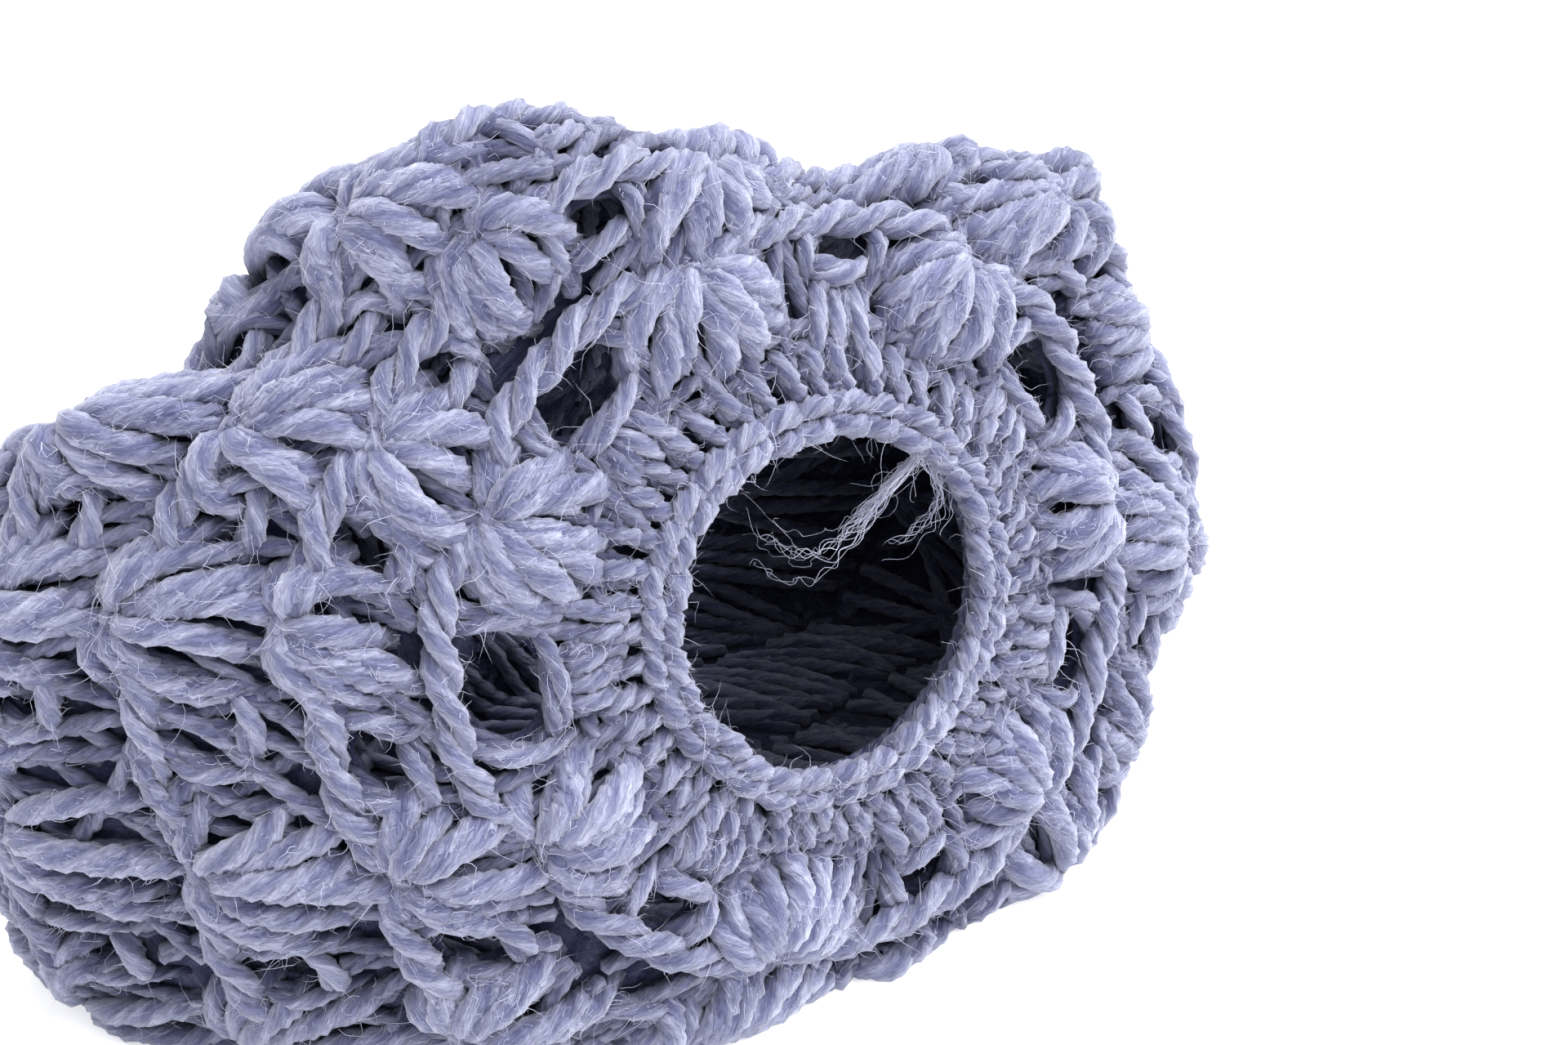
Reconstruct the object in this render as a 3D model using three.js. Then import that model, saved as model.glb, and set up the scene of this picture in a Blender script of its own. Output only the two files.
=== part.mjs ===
// A crocheted ponytail beanie that lies slouched on its side, as a cloth hat does when it is put down.
//
// Millimetres, +Z up, the floor is z = 0. The ponytail hole looks along -Y and a little up, and the
// head opening looks along +Y. The origin is on the floor under the middle of the hat's box.
//
// The hat is one curved wall. A point of the wall is named by two numbers: along, the distance over
// the fabric from the edge of the ponytail hole towards the rim, and around, an angle in degrees,
// counterclockwise as seen from the front, from the hat's right (+X). The wall is cut across its
// length into the rounds in which it is crocheted, and each round is a solid of its own.

import * as THREE from "three";

// Driving dimensions.
const WALL = 5; // thickness of the fabric where two rounds meet
const BULGE = 2.5; // how far the middle of a round stands proud of its two edges
const SEAM = 0.5; // gap between one round and the next
const FLOOR_BLEND = 4; // height over which a wall curves into the flattened underside
const FANS = 14; // fans in a round, and so also the columns of the pattern
const FIRST_FAN = 153.5; // the angle around at which the first column of fans starts
const SIDES_PER_FAN = 3; // facets of the wall across one fan
const ROWS = [0, 0.25, 0.5, 0.75, 1]; // rows of facets, as shares of a round's length
const GAP_TAPER = 0.6; // width of a gap in the lace at its two ends, as a share of its middle

// Cross-sections of the hat, one row for each edge between two rounds. Each is an oval in a plane of
// its own: side, back and lift place its middle, halfWidth, up and down are its reach, lean tips the
// plane back, square is the exponent of the oval (2 is an ellipse), facing is how far the fabric has
// turned from facing forwards (0) to facing outwards (90), and twist turns the columns of fans.
const SECTION_COLUMNS = [
  "along", "side", "back", "lift", "halfWidth", "up", "down", "lean", "square", "facing", "twist",
];
const SECTION_ROWS = {
  holeEdge: [0, 0, 0, 68, 28, 27, 28, 18, 2.0, 0, 0],
  edgingEnd: [8, 0, 1, 68, 35, 34, 35, 18, 2.0, 5, 0],
  round1End: [36, -1, 5, 68, 61, 58, 61, 19, 2.2, 20, 3],
  round2End: [58, -2, 13, 66, 83, 68, 80, 17, 2.4, 50, 12],
  round3End: [80, -12, 31, 62, 98, 65, 98, 9, 2.4, 75, 17],
  round4End: [101, -26, 50, 60, 107, 62, 100, 3, 2.4, 87, 19],
  round5End: [122, -38, 68, 57, 109, 58, 100, -3, 2.5, 90, 20],
  rimEdge: [144, -48, 84, 54, 104, 49, 94, -8, 2.5, 90, 20],
};

// Soft folds and dents: a hump or hollow centred at (around, along) that fades over spreadAround
// degrees and spreadAlong millimetres. A positive height stands out, a negative one sinks in.
const FOLD_COLUMNS = ["around", "along", "spreadAround", "spreadAlong", "height"];
const FOLD_ROWS = {
  leftCrest: [103, 83, 16, 32, 26],
  leftStep: [124, 106, 7, 26, -9],
  leftHump: [134, 110, 12, 30, 13],
  topValley: [76, 62, 12, 22, -9],
  rightCrest: [42, 84, 9, 28, 5],
  rightHollow: [15, 84, 10, 34, -7],
  rightTuck: [335, 58, 20, 22, -6],
  rightHip: [350, 88, 14, 40, 8],
  rimTuck: [172, 150, 48, 32, -63],
  rimCurl: [275, 150, 70, 28, -60],
  mouthSag: [84, 150, 55, 38, -60],
};

// The rounds, from the hole to the rim. The fans of a round leave open gaps in the lace between
// them: gapAlong is where a gap's middle lies along the fabric, and gapWidth and gapHeight are its
// size. Round 1 has a gap at every second column only.
const ROUND_COLUMNS = ["from", "to", "gapEvery", "gapAlong", "gapWidth", "gapHeight"];
const ROUND_ROWS = {
  hole_edging: ["holeEdge", "edgingEnd", 0, 0, 0, 0],
  shell_round_1: ["edgingEnd", "round1End", 2, 28, 12, 12],
  shell_round_2: ["round1End", "round2End", 1, 48, 8, 10],
  shell_round_3: ["round2End", "round3End", 1, 69, 8, 9],
  shell_round_4: ["round3End", "round4End", 1, 91, 8, 8],
  shell_round_5: ["round4End", "round5End", 1, 112, 8, 8],
  rim_band: ["round5End", "rimEdge", 0, 0, 0, 0],
};

const YARN_COLOUR = 0x8f93b8;
const YARN_ROUGHNESS = 0.95;

const named = (columns, row) => Object.fromEntries(columns.map((column, i) => [column, row[i]]));
const SECTIONS = Object.values(SECTION_ROWS).map((row) => named(SECTION_COLUMNS, row));
const FOLDS = Object.values(FOLD_ROWS).map((row) => named(FOLD_COLUMNS, row));
const PITCH = 360 / FANS; // angle from one column of fans to the next

// The slope of one column of the table at one of its rows.
function slopeAt(index, column) {
  const before = SECTIONS[Math.max(index - 1, 0)];
  const after = SECTIONS[Math.min(index + 1, SECTIONS.length - 1)];
  return (after[column] - before[column]) / (after.along - before.along);
}

// The cross-section at any distance along the fabric, on smooth curves through the table's rows.
function sectionAt(along) {
  const later = SECTIONS.findIndex((section) => section.along > along);
  const index = later < 0 ? SECTIONS.length - 2 : Math.max(later - 1, 0);
  const [start, end] = [SECTIONS[index], SECTIONS[index + 1]];
  const span = end.along - start.along;
  const t = (along - start.along) / span;
  const section = { along };
  for (const column of SECTION_COLUMNS.slice(1)) {
    section[column] =
      (1 + 2 * t) * (1 - t) ** 2 * start[column] +
      t * (1 - t) ** 2 * span * slopeAt(index, column) +
      t * t * (3 - 2 * t) * end[column] +
      t * t * (t - 1) * span * slopeAt(index + 1, column);
  }
  return section;
}

// How far the folds move the wall out at a point.
function foldHeight(around, along) {
  let height = 0;
  for (const fold of FOLDS) {
    const turn = THREE.MathUtils.euclideanModulo(around - fold.around + 180, 360) - 180;
    height +=
      fold.height *
      Math.exp(-((turn / fold.spreadAround) ** 2) - ((along - fold.along) / fold.spreadAlong) ** 2);
  }
  return height;
}

// A height above the floor, flattened where it would go through the floor.
function restOnFloor(height) {
  if (height > FLOOR_BLEND) return height;
  if (height < -FLOOR_BLEND) return 0;
  return (height + FLOOR_BLEND) ** 2 / (4 * FLOOR_BLEND);
}

// A point of the wall, where proud is its height above the plain outer surface and depth its depth
// below the wall's outer face.
function wallPoint(around, along, proud, depth) {
  const section = sectionAt(along);
  const angle = around - section.twist;
  const cos = Math.cos(THREE.MathUtils.degToRad(angle));
  const sin = Math.sin(THREE.MathUtils.degToRad(angle));
  const reach = sin > 0 ? section.up : section.down;
  const lean = THREE.MathUtils.degToRad(section.lean);
  const facing = THREE.MathUtils.degToRad(section.facing);
  const out = proud + foldHeight(angle, along) - depth;
  const outwards = out * Math.sin(facing);
  const forwards = out * Math.cos(facing);
  const across = section.halfWidth * Math.sign(cos) * Math.abs(cos) ** (2 / section.square) + outwards * cos;
  const upwards = reach * Math.sign(sin) * Math.abs(sin) ** (2 / section.square) + outwards * sin;
  const height = section.lift + upwards * Math.cos(lean) + forwards * Math.sin(lean);
  return new THREE.Vector3(
    section.side + across,
    section.back + upwards * Math.sin(lean) - forwards * Math.cos(lean),
    depth + restOnFloor(height - depth),
  );
}

// The length once round the hat at a distance along the fabric.
function girth(along) {
  const points = Array.from({ length: FANS * SIDES_PER_FAN + 1 }, (_, i) =>
    wallPoint((i * PITCH) / SIDES_PER_FAN, along, 0, 0),
  );
  return points.slice(1).reduce((sum, point, i) => sum + point.distanceTo(points[i]), 0);
}

// The closed mesh of one round, with its gaps cut through.
function roundGeometry({ from, to, gapEvery, gapAlong, gapWidth, gapHeight }) {
  const start = named(SECTION_COLUMNS, SECTION_ROWS[from]).along + SEAM / 2;
  const length = named(SECTION_COLUMNS, SECTION_ROWS[to]).along - SEAM / 2 - start;
  const columns = FANS * SIDES_PER_FAN;
  const rows = ROWS.length - 1;
  const middleRow = rows / 2;

  // A gap is centred halfway between two fans, gapEvery columns of the pattern apart.
  const gapPitch = gapEvery * PITCH;
  const gapHalfAngle = gapEvery ? (180 * gapWidth) / girth(gapAlong) : 0;
  const facetsPerGap = gapEvery * SIDES_PER_FAN;
  const firstGapFacet = Math.floor((facetsPerGap - 1) / 2);
  const lastGapFacet = Math.ceil((facetsPerGap - 1) / 2);
  const isGap = (row, column) => {
    if (!gapEvery || row < 1 || row > rows - 2) return false;
    const facet = column % facetsPerGap;
    return facet >= firstGapFacet && facet <= lastGapFacet;
  };

  // Where the grid's corners lie. The corners of a gap move to its outline, which is widest in the
  // middle row.
  const alongOf = (row) => {
    if (!gapEvery || row === 0 || row === rows) return start + ROWS[row] * length;
    return gapAlong + ((row - middleRow) * gapHeight) / (rows - 2);
  };
  const aroundOf = (row, column) => {
    const plain = (column * PITCH) / SIDES_PER_FAN;
    const facet = column % facetsPerGap;
    if (!gapEvery || row === 0 || row === rows) return FIRST_FAN + plain;
    if (facet !== firstGapFacet && facet !== lastGapFacet + 1) return FIRST_FAN + plain;
    const centre = plain - (facet * PITCH) / SIDES_PER_FAN + gapPitch / 2;
    const halfAngle = row === middleRow ? gapHalfAngle : GAP_TAPER * gapHalfAngle;
    return FIRST_FAN + centre + (facet === firstGapFacet ? -halfAngle : halfAngle);
  };

  const positions = [];
  for (const depth of [0, WALL]) {
    for (let row = 0; row <= rows; row++) {
      const along = alongOf(row);
      const proud = depth ? 0 : BULGE * Math.sin((Math.PI * (along - start)) / length);
      for (let column = 0; column < columns; column++) {
        positions.push(...wallPoint(aroundOf(row, column), along, proud, depth).toArray());
      }
    }
  }

  const outer = (row, column) => row * columns + (column % columns);
  const inner = (row, column) => (rows + 1) * columns + outer(row, column);
  const indices = [];
  const addQuad = (a, b, c, d) => indices.push(a, b, c, a, c, d);
  const isOpen = (row, column) => row < 0 || row >= rows || isGap(row, (column + columns) % columns);
  for (let row = 0; row < rows; row++) {
    for (let column = 0; column < columns; column++) {
      if (isGap(row, column)) continue;
      const next = column + 1;
      addQuad(outer(row, column), outer(row + 1, column), outer(row + 1, next), outer(row, next));
      addQuad(inner(row, column), inner(row, next), inner(row + 1, next), inner(row + 1, column));
      if (isOpen(row - 1, column)) {
        addQuad(outer(row, next), inner(row, next), inner(row, column), outer(row, column));
      }
      if (isOpen(row + 1, column)) {
        addQuad(outer(row + 1, next), outer(row + 1, column), inner(row + 1, column), inner(row + 1, next));
      }
      if (isOpen(row, column - 1)) {
        addQuad(outer(row + 1, column), outer(row, column), inner(row, column), inner(row + 1, column));
      }
      if (isOpen(row, next)) {
        addQuad(outer(row, next), outer(row + 1, next), inner(row + 1, next), inner(row, next));
      }
    }
  }

  const geometry = new THREE.BufferGeometry();
  geometry.setAttribute("position", new THREE.Float32BufferAttribute(positions, 3));
  geometry.setIndex(indices);
  geometry.computeVertexNormals();
  return geometry;
}

const beanie = new THREE.Group();
for (const [name, row] of Object.entries(ROUND_ROWS)) {
  const material = new THREE.MeshStandardMaterial({
    color: YARN_COLOUR,
    roughness: YARN_ROUGHNESS,
    metalness: 0,
    flatShading: true,
  });
  const mesh = new THREE.Mesh(roundGeometry(named(ROUND_COLUMNS, row)), material);
  mesh.name = name;
  beanie.add(mesh);
}

// The hat's box is centred over the origin.
const middle = new THREE.Box3().setFromObject(beanie).getCenter(new THREE.Vector3());
beanie.position.set(-middle.x, -middle.y, 0);

export default beanie;
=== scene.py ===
"""A crocheted ponytail beanie that lies slouched on its side, worked stitch by stitch in soft wool.

The hat is one curved wall, cut into rounds. A point of it has three numbers: around, an angle in
degrees, counterclockwise as seen from the front; along, the distance over the fabric from the edge
of the ponytail hole towards the rim; and level, the height above the wall's plain outer face.
Every stitch is a set of strands of yarn whose routes are worked out in those numbers.

Lengths are millimetres, and become metres where a mesh is made.
"""

import math
from collections import namedtuple

import bpy
import numpy as np
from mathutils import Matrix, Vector


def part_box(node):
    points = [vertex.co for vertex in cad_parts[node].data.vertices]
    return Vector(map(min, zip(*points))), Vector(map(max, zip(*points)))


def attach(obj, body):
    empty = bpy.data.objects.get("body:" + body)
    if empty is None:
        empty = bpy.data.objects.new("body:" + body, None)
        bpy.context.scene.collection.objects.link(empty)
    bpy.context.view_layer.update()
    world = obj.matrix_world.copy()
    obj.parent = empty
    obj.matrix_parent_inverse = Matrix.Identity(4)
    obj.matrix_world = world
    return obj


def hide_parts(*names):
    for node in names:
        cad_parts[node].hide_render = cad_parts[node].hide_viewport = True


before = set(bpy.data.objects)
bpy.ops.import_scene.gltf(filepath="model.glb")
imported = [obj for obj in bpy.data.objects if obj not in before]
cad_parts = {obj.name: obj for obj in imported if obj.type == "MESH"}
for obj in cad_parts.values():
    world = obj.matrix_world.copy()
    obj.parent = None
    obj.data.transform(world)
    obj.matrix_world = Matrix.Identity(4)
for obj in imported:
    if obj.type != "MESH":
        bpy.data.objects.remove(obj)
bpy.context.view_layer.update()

MM = 0.001
rng = np.random.default_rng(11)

# ------------------------------------------------------------
# The wall, the same curved surface as in the part's source

SECTION_COLUMNS = (
    "along", "side", "back", "lift", "half_width", "up", "down", "lean", "square", "facing",
    "twist",
)
SECTION_ROWS = {
    "hole_edge": (0, 0, 0, 68, 28, 27, 28, 18, 2.0, 0, 0),
    "edging_end": (8, 0, 1, 68, 35, 34, 35, 18, 2.0, 5, 0),
    "round_1_end": (36, -1, 5, 68, 61, 58, 61, 19, 2.2, 20, 3),
    "round_2_end": (58, -2, 13, 66, 83, 68, 80, 17, 2.4, 50, 12),
    "round_3_end": (80, -12, 31, 62, 98, 65, 98, 9, 2.4, 75, 17),
    "round_4_end": (101, -26, 50, 60, 107, 62, 100, 3, 2.4, 87, 19),
    "round_5_end": (122, -38, 68, 57, 109, 58, 100, -3, 2.5, 90, 20),
    "rim_edge": (144, -48, 84, 54, 104, 49, 94, -8, 2.5, 90, 20),
}
FOLD_COLUMNS = ("around", "along", "spread_around", "spread_along", "height")
FOLD_ROWS = {
    "left_crest": (103, 83, 16, 32, 26),
    "left_step": (124, 106, 7, 26, -9),
    "left_hump": (134, 110, 12, 30, 13),
    "top_valley": (76, 62, 12, 22, -9),
    "right_crest": (42, 84, 9, 28, 5),
    "right_hollow": (15, 84, 10, 34, -7),
    "right_tuck": (335, 58, 20, 22, -6),
    "right_hip": (350, 88, 14, 40, 8),
    "rim_tuck": (172, 150, 48, 32, -63),
    "rim_curl": (275, 150, 70, 28, -60),
    "mouth_sag": (84, 150, 55, 38, -60),
}
WALL = 5  # thickness of the fabric where two rounds meet
STRAND = 1.75  # radius of the yarn where it isn't squeezed
FLOOR_BLEND = 4  # height over which a wall curves into the flattened underside
FANS = 14  # columns of the pattern
FIRST_FAN = 153.5  # the angle around at which the first column of fans starts
PITCH = 360 / FANS  # angle from one column to the next
LENGTH = SECTION_ROWS["rim_edge"][0]  # of the fabric from hole to rim

SECTIONS = np.array(list(SECTION_ROWS.values()), float)
ALONG = SECTIONS[:, 0]


def section_slopes():
    """How fast each column changes along the fabric, at each section."""
    index = np.arange(len(ALONG))
    before, after = np.maximum(index - 1, 0), np.minimum(index + 1, len(ALONG) - 1)
    return (SECTIONS[after] - SECTIONS[before]) / (ALONG[after] - ALONG[before])[:, None]


SLOPES = section_slopes()


def section_at(along):
    """The cross-sections at these distances along the fabric, as {column: values}."""
    index = np.clip(np.searchsorted(ALONG, along, side="right") - 1, 0, len(ALONG) - 2)
    span = (ALONG[index + 1] - ALONG[index])[..., None]
    t = (along - ALONG[index])[..., None] / span
    values = (
        (1 + 2 * t) * (1 - t) ** 2 * SECTIONS[index]
        + t * (1 - t) ** 2 * span * SLOPES[index]
        + t * t * (3 - 2 * t) * SECTIONS[index + 1]
        + t * t * (t - 1) * span * SLOPES[index + 1]
    )
    return {column: values[..., i] for i, column in enumerate(SECTION_COLUMNS)}


def fold_height(angle, along):
    """How far the folds move the wall out."""
    height = 0
    for row in FOLD_ROWS.values():
        fold = dict(zip(FOLD_COLUMNS, row))
        turn = (angle - fold["around"] + 180) % 360 - 180
        down = along - fold["along"]
        away = (turn / fold["spread_around"]) ** 2 + (down / fold["spread_along"]) ** 2
        height = height + fold["height"] * np.exp(-away)
    return height


def bare_wall(around, along, level):
    """Points of the wall before it is moved to its place in the frame."""
    numbers = (np.asarray(values, float) for values in (around, along, level))
    around, along, level = np.broadcast_arrays(*numbers)
    section = section_at(np.clip(along, 0, LENGTH))
    angle = around - section["twist"]
    cos, sin = np.cos(np.radians(angle)), np.sin(np.radians(angle))
    lean, facing = np.radians(section["lean"]), np.radians(section["facing"])
    out = level + fold_height(angle, along)
    outwards, forwards = out * np.sin(facing), out * np.cos(facing)
    past = along - np.clip(along, 0, LENGTH)  # stitches reach a little past the wall's edges
    power = 2 / section["square"]
    reach = np.where(sin > 0, section["up"], section["down"])
    across = section["half_width"] * np.sign(cos) * np.abs(cos) ** power + (outwards + past) * cos
    upwards = reach * np.sign(sin) * np.abs(sin) ** power + (outwards + past) * sin
    height = section["lift"] + upwards * np.cos(lean) + forwards * np.sin(lean)
    # What would go through the floor lies flat on it, each strand as deep in the fabric as before.
    depth = np.maximum(-level, STRAND)
    lowered = height - depth
    blended = np.clip(lowered + FLOOR_BLEND, 0, None) ** 2 / (4 * FLOOR_BLEND)
    rest = np.where(lowered > FLOOR_BLEND, lowered, blended)
    return np.stack([
        section["side"] + across,
        section["back"] + upwards * np.sin(lean) - forwards * np.cos(lean),
        depth + rest,
    ], -1)


def shift_to_frame():
    """From the table's place to the frame: the hole edging's box says where its middle went."""
    columns = FIRST_FAN + np.arange(3 * FANS) * PITCH / 3
    edges = [
        bare_wall(columns, along, -depth)
        for along in np.linspace(ALONG[0], ALONG[1], 3)
        for depth in (0, WALL)
    ]
    points = np.concatenate(edges)
    low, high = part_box("hole_edging")
    shift = np.array((low + high) / 2) / MM - (points.min(0) + points.max(0)) / 2
    shift[2] = 0
    return shift


SHIFT = shift_to_frame()


def wall(around, along, level):
    """Points of the wall in the frame, in millimetres."""
    return bare_wall(around, along, level) + SHIFT


def wall_normal(around, along):
    """Unit vectors out of the wall."""
    step = 1.0
    across = wall(around + step, along, -WALL / 2) - wall(around - step, along, -WALL / 2)
    down = wall(around, along + step, -WALL / 2) - wall(around, along - step, -WALL / 2)
    return unit(np.cross(down, across))


def unit(vectors):
    return vectors / np.maximum(np.linalg.norm(vectors, axis=-1, keepdims=True), 1e-9)


def degrees_per_mm(around, along):
    """How many degrees round the hat one millimetre of fabric covers here."""
    reach = 4.0
    chord = wall(around + reach, along, 0) - wall(around - reach, along, 0)
    return 2 * reach / np.linalg.norm(chord, axis=-1)


# ------------------------------------------------------------
# Strands of yarn

PLIES = 3  # plies twisted into the yarn
PLY_DEPTH = 0.12  # how deep the grooves between plies are, as a share of the radius
PLY_TURN = 19.0  # length in which a ply goes once round the yarn,
TIGHT_TURN = 11.0  # where the yarn is pulled round into a small loop,
LOOSE_TURN = 24.0  # and where it lies loose in a long post
STEP = 1.9  # length of a strand's facets
SIDES = 9  # facets round a strand: three to a ply, so that a ply's groove is an edge of the mesh
HIDDEN_SIDES = 6  # facets round a strand that is seen only inside the hat or between others
END_BULGE = 0.5  # how far a strand's closed end stands out, as a share of its radius

# Levels of the fabric's lit outside, of its middle, which gets the darkest painted shade, and of
# its inside, and how much painted shade the inside gets.
LIT_ABOVE, DEEPEST, INSIDE = 1.2, -3.4, -6.5
INSIDE_SHADE = 0.5


def shade_at(level):
    """How deep in the fabric's shade the yarn lies at a level, from 0 to 1. This is painted shade:
    it darkens the yarn's colour.
    """
    return np.interp(level, (INSIDE, DEEPEST, LIT_ABOVE), (INSIDE_SHADE, 1, 0))


def smooth(points, count):
    """A smooth curve through control points, as count points."""
    points = np.asarray(points, float)
    ends = np.vstack([2 * points[0] - points[1], points, 2 * points[-1] - points[-2]])
    t = np.linspace(0, len(points) - 1, count)
    i = np.minimum(t.astype(int), len(points) - 2)
    t = (t - i)[:, None]
    p0, p1, p2, p3 = ends[i], ends[i + 1], ends[i + 2], ends[i + 3]
    return 0.5 * (
        2 * p1
        + (p2 - p0) * t
        + (2 * p0 - 5 * p1 + 4 * p2 - p3) * t**2
        + (3 * p1 - 3 * p2 + p3 - p0) * t**3
    )


def frames_along(centre, normals):
    """The tangent, and two directions across it, at each point of a line."""
    tangent = unit(np.gradient(centre, axis=0))
    side = unit(np.cross(tangent, normals))
    return tangent, side, np.cross(side, tangent)


def round_line(theta, side, out):
    """Unit vectors at angles theta round each point of a line, from two directions across it."""
    cos, sin = np.cos(theta)[..., None], np.sin(theta)[..., None]
    return cos * side[..., None, :] + sin * out[..., None, :]


def tube_faces(rows, sides):
    """The faces of a closed tube: quads, then a fan of triangles at each end, padded with -1."""
    j = np.arange(sides)
    k = (j + 1) % sides
    i = np.arange(rows - 1)[:, None] * sides
    last = (rows - 1) * sides
    first_point, last_point, none = np.repeat([[rows * sides], [rows * sides + 1], [-1]], sides, 1)
    return np.concatenate([
        np.stack([i + j, i + k, i + sides + k, i + sides + j], -1).reshape(-1, 4),
        np.stack([k, j, first_point, none], -1),
        np.stack([last + j, last + k, last_point, none], -1),
    ])


class Skein:
    """The strands of one piece, collected and then made one mesh.

    Each vertex carries fibre, its place in the yarn as (cosine and sine of the angle round the
    strand, counted from a ply, length along it), tone, how pale its strand is, and shade, the
    painted shade that darkens its colour deep in the fabric."""

    def __init__(self):
        self.vertices = []
        self.faces = []
        self.fibres = []
        self.tones = []
        self.shades = []
        self.charts = []
        self.count = 0  # of vertices
        self.roots = []  # strands on which loose fibres grow

    def collect(self, vertices, faces, fibres, tone, shades, charts):
        """Adds a mesh of yarn, with one tone and its faces' places on the map for baking."""
        self.faces.append(np.where(faces < 0, -1, faces + self.count))
        self.vertices.append(vertices)
        self.fibres.append(fibres)
        self.tones.append(np.full(len(vertices), tone))
        self.shades.append(shades)
        self.charts.append(charts)
        self.count += len(vertices)

    def strand(self, centre, normals, radius, level, sides=SIDES, hairy=1.0, ply_turn=PLY_TURN):
        """A strand along centre, closed at both ends. radius and level, its height above the wall,
        are one number for each point."""
        rows = len(centre)
        tangent, side, out = frames_along(centre, normals)
        run = run_of(centre)
        ply = (np.arange(sides) + 0.5) * 2 * math.pi / sides
        theta = ply[None, :] + 2 * math.pi * run[:, None] / ply_turn + rng.uniform(0, 2 * math.pi)
        reach = radius[:, None] * (1 + PLY_DEPTH * np.cos(PLIES * ply))
        body = centre[:, None, :] + reach[..., None] * round_line(theta, side, out)
        first_end = centre[0] - tangent[0] * radius[0] * END_BULGE
        last_end = centre[-1] + tangent[-1] * radius[-1] * END_BULGE
        vertices = np.concatenate([body.reshape(-1, 3), [first_end, last_end]])

        offset = rng.uniform(0, 400)  # so that no two strands have the same streaks
        places = np.broadcast_arrays(np.cos(ply), np.sin(ply), run[:, None] + offset)
        ends = np.array([[0, 0, offset], [0, 0, offset + run[-1]]])
        fibres = np.concatenate([np.stack(places, -1).reshape(-1, 3), ends])
        heights = np.concatenate([(level[:, None] + reach * np.sin(theta)).ravel(), level[[0, -1]]])
        charts = strip_chart(run, 2 * math.pi * radius.max(), sides)
        # Painted shade: the deeper a vertex lies in the fabric, the darker the wool's colour there.
        shades = shade_at(heights)
        self.collect(vertices, tube_faces(rows, sides), fibres, rng.uniform(), shades, charts)
        if hairy:
            self.roots.append((centre, tangent, side, out, radius, level, hairy))


def strip_chart(run, girth, sides):
    """A strand rolled out flat, in millimetres: where each corner of its faces lies."""
    facet = girth / sides
    left = np.arange(sides) * facet
    right = left + facet
    middle = (left + right) / 2
    near, far, end = run[:-1, None], run[1:, None], run[-1]

    def chart(*corners):
        places = [np.stack(np.broadcast_arrays(*corner), -1) for corner in corners]
        return np.stack(places, -2).reshape(-1, 2)

    body = chart((near, left), (near, right), (far, right), (far, left))
    first_end = chart((-0.1 * facet, right), (-0.1 * facet, left), (-facet, middle))
    last_end = chart((end + 0.1 * facet, left), (end + 0.1 * facet, right), (end + facet, middle))
    return np.concatenate([body, first_end, last_end]) + (facet, 0)


def level_line(around, along, level, count):
    """A route over the wall as points, the wall's normals there, and levels."""
    route = smooth(np.stack(np.broadcast_arrays(around, along, level), -1).astype(float), count)
    points = wall(route[:, 0], route[:, 1], route[:, 2])
    return points, wall_normal(route[:, 0], route[:, 1]), route[:, 2]


def run_of(points):
    """How far along a line each of its points lies."""
    return np.concatenate([[0], np.cumsum(np.linalg.norm(np.diff(points, axis=0), axis=1))])


def length_of(around, along):
    """The length of a route over the wall."""
    return np.linalg.norm(np.diff(wall(around, along, 0), axis=0), axis=1).sum()


def line_count(around, along, step=STEP):
    """How many points a route needs for facets of about step."""
    return max(5, math.ceil(length_of(around, along) / step) + 1)


def swell(count, low):
    """A strand's thickness along its length: squeezed to low at both ends, 1 in the middle."""
    t = np.linspace(0, 1, count)
    return low + (1 - low) * np.sin(math.pi * t) ** 0.5


def single(skein, around, along, level, radius=STRAND, low=0.6, step=STEP, **kinds):
    """One strand along a route."""
    count = line_count(around, along, step)
    points, normals, level = level_line(around, along, level, count)
    thick = radius * rng.uniform(0.93, 1.08) * swell(count, low)
    skein.strand(points, normals, thick, level, **kinds)


def pair(skein, around, along, level, spread, turns, radius=STRAND, low=0.6):
    """Two strands, spread apart in the middle, that wind round each other along a route."""
    count = line_count(around, along)
    points, normals, level = level_line(around, along, level, count)
    _, side, out = frames_along(points, normals)
    t = np.linspace(0, 1, count)
    apart = spread * swell(count, 0.35)
    turn = 2 * math.pi * (rng.uniform(-0.1, 0.1) + turns * t)
    across, above = apart * np.cos(turn), 0.75 * apart * np.sin(turn)
    move = across[:, None] * side + above[:, None] * out
    for way in (1, -1):
        thick = radius * swell(count, low) * rng.uniform(0.9, 1.1)
        skein.strand(points + way * move, normals, thick, level + way * above)


# ------------------------------------------------------------
# Where the stitches go

# The scalloped edges between rounds, as (middle, wave): the mean distance along the fabric, and
# how much nearer the hole the edge lies at even columns of fans, and farther off at odd ones.
EDGE_ROWS = [(9, 0), (39.5, 4.5), (58, 3.5), (79, 3), (101, 2), (122, 0.5), (144, 0)]

# The shell rounds: every is the columns from fan to fan, petals the posts in one fan, opening the
# angle in degrees between its first and last post, and tip where the posts end, as a share of the
# round.
FIRST_ROUND = dict(every=2, petals=11, opening=128, tip=0.22)
LATER_ROUND = dict(every=1, petals=8, opening=126, tip=-0.06)
ROUNDS = {1: FIRST_ROUND, 2: LATER_ROUND, 3: LATER_ROUND, 4: LATER_ROUND, 5: LATER_ROUND}

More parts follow.
